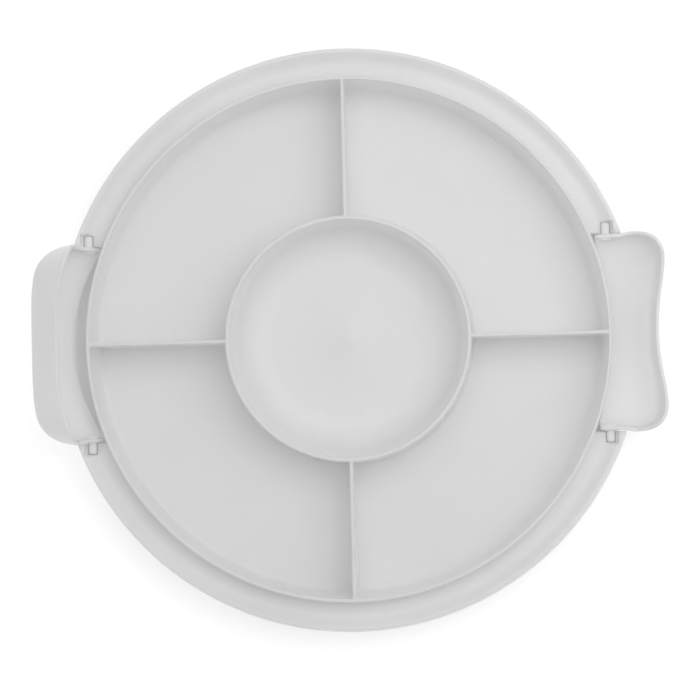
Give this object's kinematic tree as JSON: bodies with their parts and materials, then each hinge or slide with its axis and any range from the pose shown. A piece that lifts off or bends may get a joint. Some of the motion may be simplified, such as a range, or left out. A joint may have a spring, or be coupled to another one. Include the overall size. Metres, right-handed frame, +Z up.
{
  "type": "cake carrier base",
  "caption": "Round white plastic cake carrier base with a sectioned serving tray, a lid channel with a raised rim, and hinged side latches that hook over a lid.",
  "frame": {"origin": "centre of the flat underside, the face that the base stands on", "axes": "+Z up, out of the tray; +X towards the right latch; +Y towards the rear, the top of the picture"},
  "size_m": [0.3316, 0.3096, 0.0538],
  "materials": {
    "base_plastic": "satin injection-moulded white polypropylene",
    "latch_plastic": "satin injection-moulded white polypropylene"
  },
  "bodies": {
    "base": {"tray_floor": "base_plastic", "tray_wall": "base_plastic", "center_bowl": "base_plastic", "right_divider": "base_plastic", "rear_divider": "base_plastic", "left_divider": "base_plastic", "front_divider": "base_plastic", "rear_channel": "base_plastic", "front_channel": "base_plastic", "rear_rim": "base_plastic", "front_rim": "base_plastic", "right_rear_hinge_socket": "base_plastic", "right_front_hinge_socket": "base_plastic", "left_rear_hinge_socket": "base_plastic", "left_front_hinge_socket": "base_plastic"},
    "right_latch_body": {"right_latch": "latch_plastic"},
    "left_latch_body": {"left_latch": "latch_plastic"}
  },
  "joints": [
    {"name": "right_latch_hinge", "type": "hinge", "parent": "base", "child": "right_latch_body", "pos_m": [0.136, 0, 0.0225], "axis": [0, -1, 0], "range_deg": [0, 90]},
    {"name": "left_latch_hinge", "type": "hinge", "parent": "base", "child": "left_latch_body", "pos_m": [-0.136, 0, 0.0225], "axis": [0, 1, 0], "range_deg": [-45, 45]}
  ]
}
